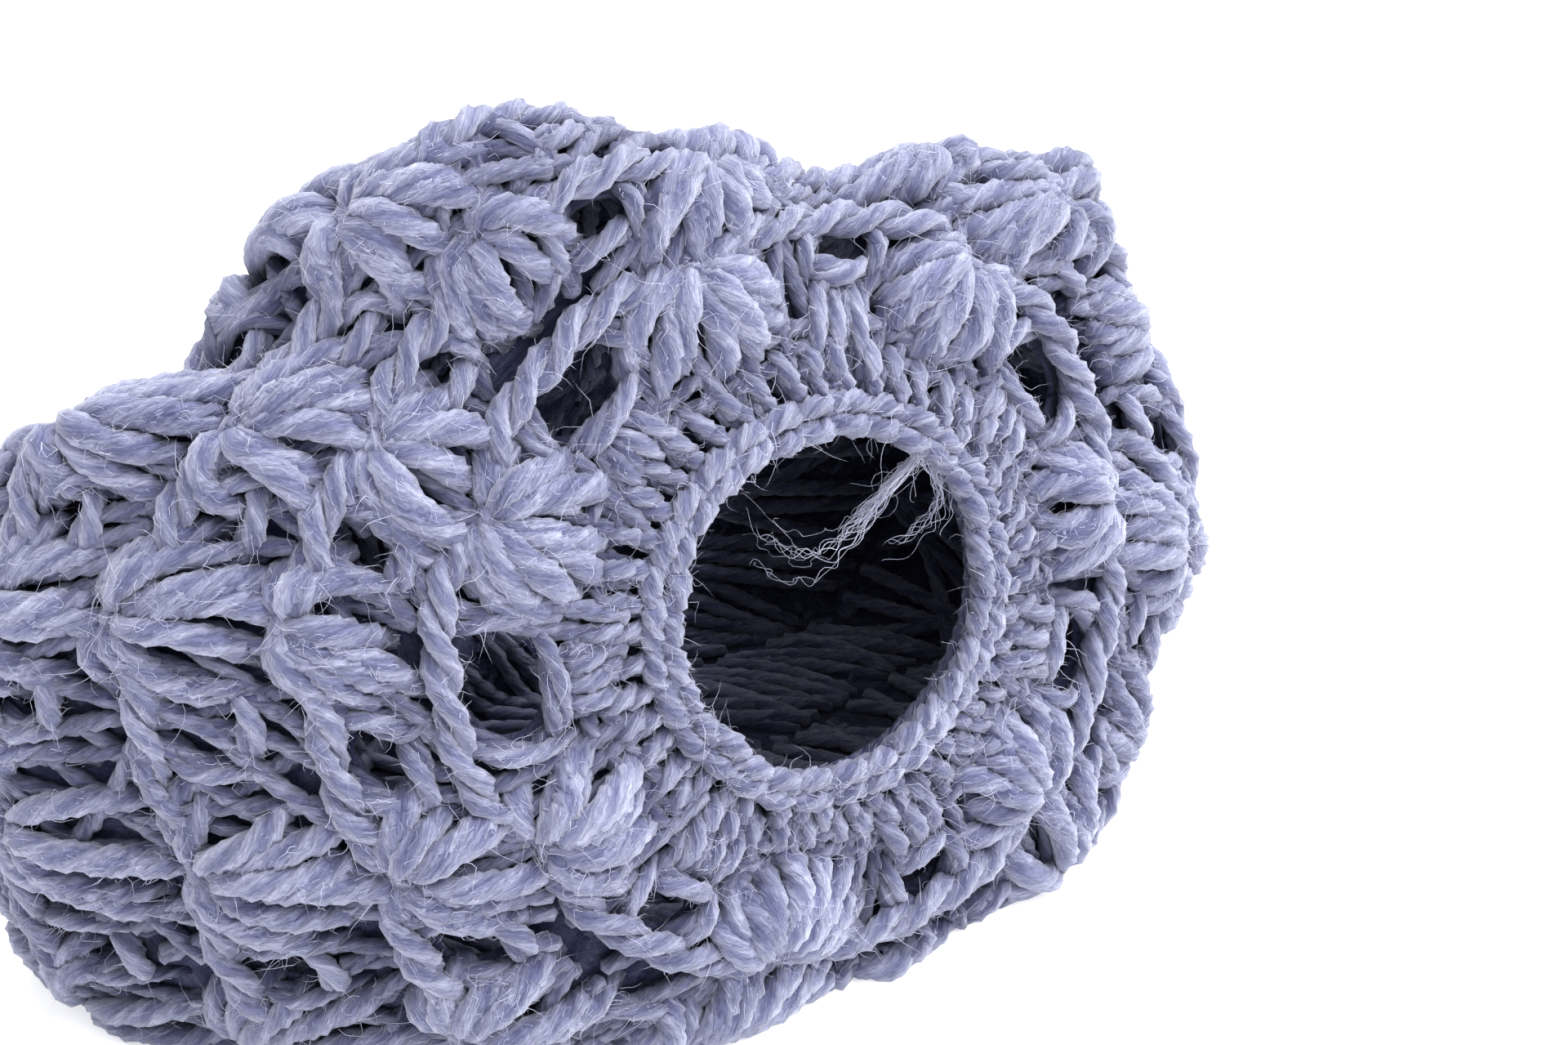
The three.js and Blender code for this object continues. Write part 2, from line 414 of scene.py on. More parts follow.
# The gaps in round 1, from the first column on: width round the hat, height and middle along it.
FIRST_GAPS = [
    (17, 12.5, 31.5), (8, 6, 30), (8, 6, 30), (11, 8, 29), (13, 8.5, 29), (8, 6, 33), (15, 9, 30.5),
]
LATER_GAP = (7.5, 6.5)  # width and height of a gap in the later rounds
LATER_GAP_SHARE = 0.64  # where its middle lies, as a share of the round
PRESSED_SHUT = 12  # gaps that lie lower than this above the floor are pressed shut
COVERED = {(3, 1.5)}  # gaps, as (round, column), that the dark middle sheet, in painted shade, closes


def edge_along(edge, column):
    """Where an edge between rounds lies, at a column that may be a fraction."""
    middle, wave = EDGE_ROWS[edge]
    return middle - wave * np.cos(math.pi * np.asarray(column, float))


def place(number, column, share):
    """(around, along) at a column and a share of the way over a round, from its inner edge."""
    inner, outer = edge_along(number - 1, column), edge_along(number, column)
    return FIRST_FAN + np.asarray(column, float) * PITCH, inner + (outer - inner) * share


def beside(around, along, across, down):
    """(around, along) at millimetres to one side of a place and nearer the rim."""
    along = along + down
    return around + across * degrees_per_mm(around, along), along


Gap = namedtuple("Gap", "column around along width height is_open")


def gaps_of(number):
    """A round's gaps, each with its middle and its size in millimetres."""
    every = ROUNDS[number]["every"]
    gaps = []
    for index, column in enumerate(range(0, FANS, every)):
        middle = column + every / 2
        around, along = place(number, middle, LATER_GAP_SHARE)
        width, height = np.array(LATER_GAP) * rng.uniform(0.7, 1.25, 2)
        if number == 1:
            width, height, along = FIRST_GAPS[index]
        is_open = wall(around, along, -WALL)[2] > PRESSED_SHUT and (number, middle) not in COVERED
        gaps.append(Gap(middle, around, float(along), width, height, is_open))
    return gaps


GAPS = {number: gaps_of(number) for number in ROUNDS}


def from_gap(gap, around, along, margin):
    """How far across and down from a gap's middle a place is: 1 is the gap's edge and a margin."""
    turn = (around - gap.around + 180) % 360 - 180
    across = turn / degrees_per_mm(gap.around, gap.along) / (gap.width / 2 + margin)
    return across, (along - gap.along) / (gap.height / 2 + margin)


def inside_gap(number, around, along, margin):
    """For each point, the open gap that it lies in, or -1. margin widens the gaps."""
    found = np.full(np.broadcast(around, along).shape, -1)
    for index, gap in enumerate(GAPS.get(number, [])):
        if gap.is_open:
            across, down = from_gap(gap, around, along, margin)
            found[across**2 + down**2 < 1] = index
    return found


# ------------------------------------------------------------
# Stitches

PETAL = 2.4  # radius of the yarn in the loose posts of a fan
# How thick such a post is along its length, as {share of the length: share of PETAL}.
PETAL_SHAPE = {0: 0.45, 0.15: 0.78, 0.4: 1.05, 0.8: 1.08, 1: 0.92}


def petal(skein, star, reach, angle, rise):
    """A post of a fan: reach long from its star, turned by angle in degrees from the way to the
    hole, and bent outwards, so that the fan is round."""
    around, along = star
    t = np.linspace(0, 1, 7)
    turn = np.radians(angle) * (1.45 - 0.5 * t) + rng.normal(0, 0.17) * np.sin(math.pi * t)
    around, along = beside(around, along, reach * t * np.sin(turn), -reach * t * np.cos(turn))
    level = -3.2 - t**2 + (rise + 1.8) * np.sin(math.pi * t**0.8) ** 0.6
    count = max(6, math.ceil(reach / STEP) + 1)
    points, normals, level = level_line(around, along, level, count)
    shape = np.interp(np.linspace(0, 1, count), list(PETAL_SHAPE), list(PETAL_SHAPE.values()))
    thick = PETAL * rng.uniform(0.92, 1.1) * shape
    skein.strand(points, normals, thick, level, ply_turn=LOOSE_TURN)


def fan(skein, number, column):
    """A shell of posts that spring from one star and open towards the hole."""
    shape = ROUNDS[number]
    star = place(number, column + rng.normal(0, 0.02), 0.97 + rng.normal(0, 0.012))
    reach = star[1] - place(number, column, shape["tip"])[1]
    half = shape["opening"] / 2
    for index, angle in enumerate(np.linspace(-half, half, shape["petals"])):
        # The outer posts are shorter and lower. Every other one is shorter and lies on top.
        edge, over = abs(angle) / half, index % 2
        length = reach * (1 - 0.16 * edge**2) * (1 - 0.17 * over)
        rise = 2.9 - 1.0 * edge**2 + 0.8 * over
        length, angle = length + rng.normal(0, 1.2), angle + rng.normal(0, 5)
        petal(skein, star, length, angle, rise + rng.normal(0, 0.6))
    # Short posts under the outer ones, which close the fan's two corners.
    for way in (-1, 1):
        petal(skein, star, reach * 0.62, way * (half + 21), 0.7)
    # The loop that ties the star down.
    for way in (-1, 1):
        across, down = np.array([-3.4, -1.2, 1.2, 3.4]), np.array([2.2, 0.4, -0.4, -1.6]) * way
        single(skein, *beside(*star, across, down), np.array([-3.0, -0.4, -0.2, -2.8]), radius=1.5)


ROPE_TURN = 15  # length in which the rope of a gap goes once round


def frame_gap(skein, number, gap):
    """The strands round an open place between two fans: a twisted rope on its outer side, a loop on
    its inner side, a leg at each end, and in round 1 posts from the loop to the round before."""
    every = ROUNDS[number]["every"]
    q = np.array([0.0, 0.12, 0.3, 0.5, 0.7, 0.88, 1.0])
    around, stars = place(number, gap.column - every / 2 + q * every, 0.96)
    rope = stars + (gap.along + gap.height / 2 + 2.4 - stars) * np.sin(math.pi * q) ** 0.7
    level = np.array([-3.2, -1.2, -0.2, 0.1, -0.2, -1.2, -3.2])
    turns = length_of(around, rope) / ROPE_TURN
    pair(skein, around, rope, level, spread=1.55, turns=turns, radius=1.9, low=0.75)

    middle = (gap.around, gap.along)
    wide, high = gap.width / 2 + 2.2, gap.height / 2 + 1.8
    across = wide * np.array([-1, -0.55, 0, 0.55, 1])
    down = -high + np.array([1.6, 0.2, -0.4, 0.2, 1.6])
    level = np.array([-3.4, -1.2, -0.7, -1.2, -3.4])
    pair(skein, *beside(*middle, across, down), level, spread=1.0, turns=0.6)
    for way in (-1, 1):
        across = way * wide * np.array([0.6, 1.03, 1.1, 0.9])
        down = high * np.array([1.5, 0.45, -0.35, -1.6])
        level = np.array([-4.2, -1.3, -1.2, -4.2])
        pair(skein, *beside(*middle, across, down), level, spread=1.15, turns=0.4, radius=1.6)

    if number == 1:
        start, end = -high - 0.8, edge_along(0, gap.column) - gap.along + 3.5
        t = np.linspace(0, 1, 4)
        level = -3.2 + 2.6 * np.sin(math.pi * t)
        for apart in (-3.9, 0, 3.9):
            across, down = apart * (0.8 + 0.3 * t) + rng.normal(0, 0.4), start + (end - start) * t
            route = beside(*middle, across, down)
            pair(skein, *route, level, spread=1.15, turns=rng.uniform(0.2, 0.5), radius=1.65)


def even_columns(number, share, spacing):
    """Columns evenly spaced once round the hat, about spacing millimetres apart, and their exact
    spacing."""
    fine = np.linspace(0, FANS, 721)
    around, along = place(number, fine, share)
    run = run_of(wall(around, along, 0))
    count = round(run[-1] / spacing)
    return np.interp(np.arange(count) * run[-1] / count, run, fine), run[-1] / count


PLAIT_STEP = 1.7  # length of the facets in a plait's small loops


def plait(skein, number, share, spacing, half_width, level, radius, line=None, **kinds):
    """A row of V-shaped loops that runs round the hat like a plait. line, if given, is its distance
    along the fabric at each angle around."""
    columns, pitch = even_columns(number, share, spacing)
    for column in columns:
        around, along = place(number, column, share)
        if line:
            along = line(around)
        turn = degrees_per_mm(around, along)
        for way in (-1, 1):
            wobble = rng.normal(0, 0.3, 4)
            x = pitch * np.array([-0.5, -0.1, 0.4, 0.98]) + wobble[3]
            y = way * half_width * np.array([0.1, 0.85, 1.05, 0.1]) + wobble[0]
            z = level + np.array([-2.1, 0.2 + wobble[1] * 0.5, 0.6 + wobble[2] * 0.5, -1.9])
            single(
                skein, around + x * turn, along + y, z,
                radius=radius, low=0.7, step=PLAIT_STEP, ply_turn=TIGHT_TURN, **kinds,
            )


def short_posts(skein, number, share, spacing, length, radius):
    """A row of short posts, side by side round the hat."""
    columns, _ = even_columns(number, share, spacing)
    for column in columns:
        around, along = place(number, column, share)
        around = around + rng.normal(0, 0.3)
        across = rng.normal(0, 0.5) + np.array([0, 0.3, 0.9])
        down = length * np.array([-0.5, 0, 0.5])
        level = np.array([-3.2, -1.0, -3.2]) + rng.normal(0, 0.2)
        route = beside(around, along, across, down)
        pair(skein, *route, level, spread=1.1, turns=0.4, radius=radius)


WEB_LEVEL, WEB_THICK = -4.0, 1.0  # a dark sheet in the middle of the fabric, in painted shade, for the shaded depth between strands
WEB_PITCH = 3.5  # size of its cells
WEB_MARGIN = 1.0  # how far it stays clear of a gap


def web(skein, number, start, end):
    """A dark sheet between the strands, in painted shade, which closes the fabric everywhere but at
    its gaps: a thin wavy sheet from start to end along the fabric, with an oval hole at each gap."""
    rows = max(2, round((end - start) / WEB_PITCH))
    columns = round(length_of(np.linspace(0, 360, 91), (start + end) / 2) / WEB_PITCH)
    around, along = np.meshgrid(
        np.arange(columns) * 360 / columns, start + (end - start) * np.arange(rows + 1) / rows
    )
    cell_around, cell_along = around[:-1] + 180 / columns, (along[:-1] + along[1:]) / 2
    open_cells = inside_gap(number, cell_around, cell_along, WEB_MARGIN + 0.5) >= 0

    # The corners next to an open cell move to the gap's outline.
    touched = np.zeros(around.shape, bool)
    for row, column in zip(*np.nonzero(open_cells)):
        touched[row:row + 2, [column, (column + 1) % columns]] = True
    near = inside_gap(number, around, along, WEB_MARGIN + 4)
    for corner in zip(*np.nonzero(touched & (near >= 0))):
        gap = GAPS[number][near[corner]]
        across, down = from_gap(gap, around[corner], along[corner], WEB_MARGIN)
        size = max(math.hypot(across, down), 0.05)
        per_mm = degrees_per_mm(gap.around, gap.along)
        around[corner] = gap.around + across / size * (gap.width / 2 + WEB_MARGIN) * per_mm
        along[corner] = gap.along + down / size * (gap.height / 2 + WEB_MARGIN)

    wave = 0.35 * np.sin(around * 0.9 + along) * np.sin(along * 1.3)
    sheets = [
        wall(around, along, WEB_LEVEL + side * WEB_THICK / 2 + wave).reshape(-1, 3)
        for side in (1, -1)
    ]
    here = np.arange(around.size).reshape(around.shape)
    right = np.roll(here, -1, 1)
    top = np.stack([here[:-1], here[1:], right[1:], right[:-1]], -1)[~open_cells]
    # Each edge that has a face on one side only gets a narrow face between the two sheets.
    edges = np.stack([top.T, np.roll(top.T, -1, 0)], -1).reshape(-1, 2).tolist()
    known = set(map(tuple, edges))
    rim = np.array([(a, b) for a, b in edges if (b, a) not in known])
    narrow = np.stack([rim[:, 1], rim[:, 0], rim[:, 0] + around.size, rim[:, 1] + around.size], -1)
    faces = np.concatenate([top, top[:, ::-1] + around.size, narrow])
    used = np.unique(faces)
    faces = np.searchsorted(used, faces)
    vertices = np.concatenate(sheets)[used]

    run = (around / degrees_per_mm(around, along)).ravel()
    ply = 2 * math.pi * (along.ravel() + 0.5 * run) / 9
    fibres = np.stack([np.cos(ply), np.sin(ply), run], -1)
    fibres = np.concatenate([fibres, fibres])[used]
    # Painted shade: the whole sheet is coloured nearly as dark as the fabric's darkest middle.
    shades = np.full(len(vertices), shade_at(WEB_LEVEL))
    skein.collect(vertices, faces, fibres, 0.5, shades, flat_chart(len(faces), WEB_PITCH))


def flat_chart(count, side):
    """Four-sided faces, each on its own square of a grid: where their corners lie."""
    per_row = max(1, math.ceil(math.sqrt(count)))
    corner = np.array([(0.05, 0.05), (0.05, 0.95), (0.95, 0.95), (0.95, 0.05)]) * side
    at = np.stack([np.arange(count) % per_row, np.arange(count) // per_row], -1) * side
    return (at[:, None, :] + corner).reshape(-1, 2)


# The plain posts of a round, which show on the inside of the hat or fill the fabric under its fans:
# their level, and how many columns they slant by, give or take.
BACK_POSTS = (-5.0, 0.35)
UNDER_POSTS = (-1.3, 0.4)
POST_PITCH, POST_STEP = 4.5, 3.2  # from one to the next, and the length of their facets


def plain_posts(skein, number, level, slant):
    """Posts side by side round the hat, cut short at the gaps."""
    columns, _ = even_columns(number, 0.5, POST_PITCH)
    share = np.linspace(0.04, 0.96, 9)
    for column in columns:
        leaning = rng.normal(0, slant) * (share - 0.5)
        around, along = place(number, column + leaning, share)
        clear = inside_gap(number, around, along, STRAND + 0.6) < 0
        for run in np.split(np.arange(len(share)), np.nonzero(~clear)[0]):
            run = run[clear[run]]
            if len(run) < 3:
                continue
            rise = level - 0.9 * np.sin(math.pi * np.linspace(0, 1, len(run))) + rng.normal(0, 0.45)
            single(
                skein, around[run], along[run], rise,
                low=0.8, step=POST_STEP, sides=HIDDEN_SIDES, hairy=0, ply_turn=LOOSE_TURN,
            )


def shell_round(skein, number):
    """A round of fans with the gaps between them. The first also has a row of short posts."""
    for column in range(0, FANS, ROUNDS[number]["every"]):
        fan(skein, number, column)
    for gap in GAPS[number]:
        frame_gap(skein, number, gap)
    if number == 1:
        short_posts(skein, 1, 0.12, 5.4, 8.0, 1.6)
        plait(skein, 1, 0.26, 6.6, 1.9, -2.2, 1.55)
    plain_posts(skein, number, *UNDER_POSTS)
    plain_posts(skein, number, *BACK_POSTS)
    web(skein, number, EDGE_ROWS[number - 1][0] - 0.8, EDGE_ROWS[number][0] + 0.8)


# How far the hole's bound edge reaches into the hole at some angles around, which makes its
# outline a rounded polygon.
HOLE_OUTLINE = {25: 0.0, 75: 0.6, 125: 0.0, 175: 0.4, 215: 1.6, 243: 0.0, 300: 2.2, 345: 0.7}
HOLE_PLAIT = 4.4  # distance along of the plait that binds the hole, where it doesn't reach in
# Plain strands round the hole, under the edging, as (along, level, whether it has the outline).
HOLE_STRANDS = [(2.6, -3.4, True), (5.5, -5.2, False), (8.0, -5.0, False)]


def hole_line(around):
    """Where the plait that binds the hole lies, as a distance along the fabric."""
    angles, reaches = list(HOLE_OUTLINE), list(HOLE_OUTLINE.values())
    return HOLE_PLAIT - np.interp(np.asarray(around) % 360, angles, reaches, period=360)


def hole_edging(skein):
    """Short posts round the hole, and the plait of loops that binds its edge."""
    short_posts(skein, 1, 0.0, 5.0, 7.5, 1.6)
    plait(skein, 1, 0.0, 7.4, 2.0, -0.7, 2.15, hole_line, hairy=1.8)
    web(skein, 0, 2.6, EDGE_ROWS[0][0])
    around = np.linspace(0, 360, 61)
    for along, level, outlined in HOLE_STRANDS:
        line = along + (hole_line(around) - HOLE_PLAIT if outlined else 0)
        points, normals, levels = level_line(around, line, level, len(around))
        thick = np.full(len(around), 1.7)
        skein.strand(points, normals, thick, levels, sides=HIDDEN_SIDES, hairy=0)


RIM_ROWS = 4


def rim_band(skein):
    """Plain rows of stitches below the last shells."""
    for row in range(RIM_ROWS):
        plait(skein, 6, 0.12 + 0.25 * row, 8.0, 2.4, -1.5, 1.9)
    plain_posts(skein, 6, *BACK_POSTS)
    web(skein, 6, EDGE_ROWS[5][0] - 0.8, LENGTH - 1.5)


# ------------------------------------------------------------
# Loose fibres

FIBRE = 0.048  # radius of a loose fibre at its root
LONGEST_FIBRE = 9.0
FIBRE_SIDES = 3

# The kinds of loose fibres: how many grow on a millimetre of strand, the shortest, the mean length
# beyond that, points along one, and how much it curls.
FIBRE_COLUMNS = ("density", "shortest", "beyond", "rows", "curl")
FIBRE_ROWS = {
    "down": (0.3, 0.6, 0.5, 2, 0.0),
    "curly": (0.85, 1.5, 1.8, 4, 0.8),
    "long": (0.15, 4.0, 3.0, 7, 0.6),
}
LOWEST_ROOT = -0.9  # level below which no fibres grow, because none would show
LOWEST_FLUFF = 7.0  # height above the floor below which none grow: the yarn is pressed flat there


def fibre_tubes(curves, radius):
    """The vertices and triangles of thin pointed tubes along curves, an array of their points."""
    count, rows, _ = curves.shape
    tangent = unit(np.gradient(curves, axis=1))
    helper = unit(np.cross(tangent[:, :1], rng.normal(size=(count, 1, 3))))
    side = unit(np.cross(tangent, helper))
    out = np.cross(side, tangent)
    theta = np.arange(FIBRE_SIDES) * 2 * math.pi / FIBRE_SIDES
    taper = radius[:, None] * np.linspace(1, 0.4, rows - 1)
    ring = round_line(theta, side[:, :-1], out[:, :-1]) * taper[:, :, None, None]
    body = (curves[:, :-1, None, :] + ring).reshape(count, -1, 3)
    vertices = np.concatenate([body, curves[:, -1:, :]], 1)

    j = np.arange(FIBRE_SIDES)
    k = (j + 1) % FIBRE_SIDES
    i = np.arange(rows - 2)[:, None] * FIBRE_SIDES
    lower = np.stack([i + j, i + k, i + FIBRE_SIDES + k], -1).reshape(-1, 3)
    upper = np.stack([i + j, i + FIBRE_SIDES + k, i + FIBRE_SIDES + j], -1).reshape(-1, 3)
    last = (rows - 2) * FIBRE_SIDES
    tip = np.stack([last + j, last + k, np.full(FIBRE_SIDES, (rows - 1) * FIBRE_SIDES)], -1)
    root = np.array([[2, 1, 0]])
    pattern = np.concatenate([lower, upper, tip, root])
    size = (rows - 1) * FIBRE_SIDES + 1
    faces = (pattern[None] + (np.arange(count) * size)[:, None, None]).reshape(-1, 3)
    return vertices.reshape(-1, 3), faces


def between(values, i, f):
    """Values a share f of the way from row i to the next."""
    return values[i] * (1 - f) + values[i + 1] * f


def grow(roots, density, shortest, beyond, rows, curl):
    """Loose fibres of one kind that leave the strands' outer faces, as curves of points."""
    curves = []
    for centre, tangent, side, out, radius, level, hairy in roots:
        count = rng.poisson(run_of(centre)[-1] * density * hairy)
        if not count:
            continue
        t = rng.uniform(0, len(centre) - 1.001, count)
        turn = rng.normal(0, hairy, count)[:, None]
        i = t.astype(int)
        lowest = LOWEST_ROOT - 3 * (hairy - 1)  # the hairy plait round the hole shows its sides too
        shown = (level[i] + radius[i] * np.cos(turn[:, 0]) > lowest) & (centre[i, 2] > LOWEST_FLUFF)
        if not shown.any():
            continue
        t, i, turn, count = t[shown], i[shown], turn[shown], shown.sum()
        f = (t - i)[:, None]
        away = np.sin(turn) * between(side, i, f) + np.cos(turn) * between(out, i, f)
        at = between(centre, i, f) + away * (radius[i] * 0.95)[:, None]
        lean = rng.choice([-1, 1], count)[:, None] * rng.uniform(0.3, 1.3, (count, 1))
        heading = away * rng.uniform(0.15, 0.9, (count, 1)) + between(tangent, i, f) * lean
        heading = unit(heading + rng.normal(0, 0.35, (count, 3)))
        length = np.minimum(shortest + rng.exponential(beyond, count), LONGEST_FIBRE)
        step = (length / (rows - 1))[:, None]
        bend = rng.normal(0, curl, (count, 3))
        points = [at]
        for _ in range(rows - 1):
            points.append(points[-1] + heading * step)
            heading = unit(heading + bend + rng.normal(0, curl * 0.6, (count, 3)))
        curves.append(np.stack(points, 1))
    return np.concatenate(curves)


# The frayed end of yarn that hangs into the hole from its edge: where it leaves the fabric, as
# (around, along, level), and its tufts. shortest is the shortest fibre's share of the route,
# parting and curling are how far the fibres part and how widely they curl, and the route is in
# millimetres from where the tuft leaves the fabric, as (right, back, up).
FRAY_ROOT = (40, 2.0, -2.5)
FRAY_COLUMNS = ("fibres", "shortest", "parting", "curling", "route")
FRAY_ROWS = [
    (34, 0.55, 1.0, 0.35, [(0, 0, 0), (-4, 1, -4), (-8.5, 2, -9), (-14, 3, -14)]),
    (10, 0.7, 3.0, 0.8, [
        (0, 0, 0), (-8, 2, -9), (-14, 3, -14), (-20, 5, -16), (-25, 10, -13), (-28, 14, -8),
    ]),
    (20, 0.4, 1.2, 0.6, [
        (0, 0, 0), (1.5, -1.5, -4), (2.5, -2, -8), (1.5, -2, -12), (-2, -1, -16), (-8, 0, -18),
    ]),
    (10, 0.4, 4.0, 1.2, [(0, 0, 0), (1, 3, -5), (-2, 6, -10), (-7, 9, -15)]),
]


def frayed_end():
    """The fibres of the frayed end, a mesh for each tuft."""
    root = wall(*FRAY_ROOT)
    tubes = []
    for row in FRAY_ROWS:
        tuft = dict(zip(FRAY_COLUMNS, row))
        rows = 8 * len(tuft["route"])
        route = smooth(tuft["route"], rows)
        t = np.linspace(0, 1, rows)
        share = t[:, None]
        curves = []
        for _ in range(tuft["fibres"]):
            reach = rng.uniform(tuft["shortest"], 1.0)
            line = np.stack([np.interp(t * reach, t, values) for values in route.T], -1)
            waves = share * run_of(line)[-1] * rng.uniform(0.6, 1.6, 3)
            waves += rng.uniform(0, 2 * math.pi, 3)
            curl = tuft["curling"] * share**0.5 * np.sin(waves)
            spread = rng.normal(0, 1, 3) * tuft["parting"] * share**1.4
            curves.append(root + line + spread + curl + rng.normal(0, 0.4, 3))
        tubes.append(fibre_tubes(np.stack(curves), rng.uniform(1.2, 2.4, len(curves)) * FIBRE))
    return tubes


# ------------------------------------------------------------
# Meshes


def fill_mesh(name, vertices, faces):
    """A mesh object from points in millimetres and faces padded with -1."""
    mesh = bpy.data.meshes.new(name)
    sizes = (faces >= 0).sum(1)
    loops = faces[faces >= 0]
    vertices[:, 2] = np.maximum(vertices[:, 2], 0.05)  # the floor presses the yarn flat
    mesh.vertices.add(len(vertices))
    mesh.vertices.foreach_set("co", (vertices * MM).astype(np.float32).ravel())
    mesh.loops.add(len(loops))
    mesh.loops.foreach_set("vertex_index", loops.astype(np.int32))
    mesh.polygons.add(len(faces))
    mesh.polygons.foreach_set("loop_start", (np.cumsum(sizes) - sizes).astype(np.int32))
    mesh.polygons.foreach_set("use_smooth", np.ones(len(faces), bool))
    mesh.update(calc_edges=True)
    piece = bpy.data.objects.new(name, mesh)
    bpy.context.scene.collection.objects.link(piece)
    return piece


CHART_MARGIN = 0.5  # millimetres between two charts on the map


def packed(charts):
    """The charts side by side in rows, on a square of size 1."""
    sizes = np.array([chart.max(0) for chart in charts]) + CHART_MARGIN
    width = math.sqrt(sizes.prod(1).sum()) * 1.06
    order = np.argsort(-sizes[:, 1], kind="stable")
    corners = np.zeros((len(charts), 2))
    x = y = tall = 0.0
    for index in order:
        if x + sizes[index, 0] > width:
            x, y, tall = 0.0, y + tall, 0.0
        corners[index] = x, y
        x += sizes[index, 0]
        tall = max(tall, sizes[index, 1])
    scale = 1 / max(width, y + tall, sizes[:, 0].max())
    return np.concatenate([chart + corner for chart, corner in zip(charts, corners)]) * scale


def yarn_piece(name, skein, material):
    """The strands of a skein as one piece, with what the wool's material reads and its map."""
    piece = fill_mesh(name, np.concatenate(skein.vertices), np.concatenate(skein.faces))
    mesh = piece.data
    fibre = mesh.attributes.new("fibre", "FLOAT_VECTOR", "POINT")
    fibre.data.foreach_set("vector", np.concatenate(skein.fibres).astype(np.float32).ravel())
    for label, values in (("tone", skein.tones), ("shade", skein.shades)):
        attribute = mesh.attributes.new(label, "FLOAT", "POINT")
        attribute.data.foreach_set("value", np.concatenate(values).astype(np.float32))
    layer = mesh.uv_layers.new(name="OFBake")
    layer.uv.foreach_set("vector", packed(skein.charts).astype(np.float32).ravel())
    mesh.materials.append(material)
    return piece


def fuzz_piece(name, skein, material, extra):
    """The loose fibres that grow on a skein's strands, and extra ones, as one piece."""
    parts = list(extra)
    for row in FIBRE_ROWS.values():
        curves = grow(skein.roots, **dict(zip(FIBRE_COLUMNS, row)))
        parts.append(fibre_tubes(curves, rng.uniform(0.7, 1.2, len(curves)) * FIBRE))
    starts = np.concatenate([[0], np.cumsum([len(vertices) for vertices, _ in parts])])
    faces = np.concatenate([faces + start for (_, faces), start in zip(parts, starts)])
    piece = fill_mesh(name, np.concatenate([vertices for vertices, _ in parts]), faces)
    piece.data.materials.append(material)
    return piece


# ------------------------------------------------------------
# Materials


def feed(tree, socket, value):
    """Links a socket to another one, or sets its value."""
    if isinstance(value, bpy.types.NodeSocket):
        tree.links.new(value, socket)
    else:
        socket.default_value = value


def node(tree, kind, inputs=None, **settings):
    """A new node with its settings. Inputs are given by socket name, as values or as sockets."""
    made = tree.nodes.new(kind)
    for key, value in settings.items():
        setattr(made, key, value)
    for key, value in (inputs or {}).items():
        feed(tree, made.inputs[key], value)
    return made


def math_node(tree, operation, *values):
    made = node(tree, "ShaderNodeMath", operation=operation)
    for socket, value in zip(made.inputs, values):
        feed(tree, socket, value)
    return made.outputs[0]


def mix_colours(tree, factor, a, b, blend="MIX"):
    made = node(tree, "ShaderNodeMix", data_type="RGBA", blend_type=blend)
    for index, value in ((0, factor), (6, a), (7, b)):  # the sockets for colours
        feed(tree, made.inputs[index], value)
    return made.outputs[2]


def new_material(name):
    """An empty material and its node tree."""
    material = bpy.data.materials.new(name)
    material.use_nodes = True
    material.node_tree.nodes.clear()
    return material, material.node_tree


def surface(tree, inputs):
    """Ends a material in one shader with these inputs."""
    shader = node(tree, "ShaderNodeBsdfPrincipled", inputs)
    node(tree, "ShaderNodeOutputMaterial", {"Surface": shader.outputs[0]})


def stretched_noise(tree, vector, scale, detail, distortion):
    """Noise whose grain follows a scale along each axis of vector."""
    spot = node(tree, "ShaderNodeMapping", {"Vector": vector, "Scale": scale}).outputs[0]
    return node(tree, "ShaderNodeTexNoise", {
        "Vector": spot, "Scale": 1.0, "Detail": detail, "Roughness": 0.55, "Distortion": distortion,
    }).outputs["Fac"]


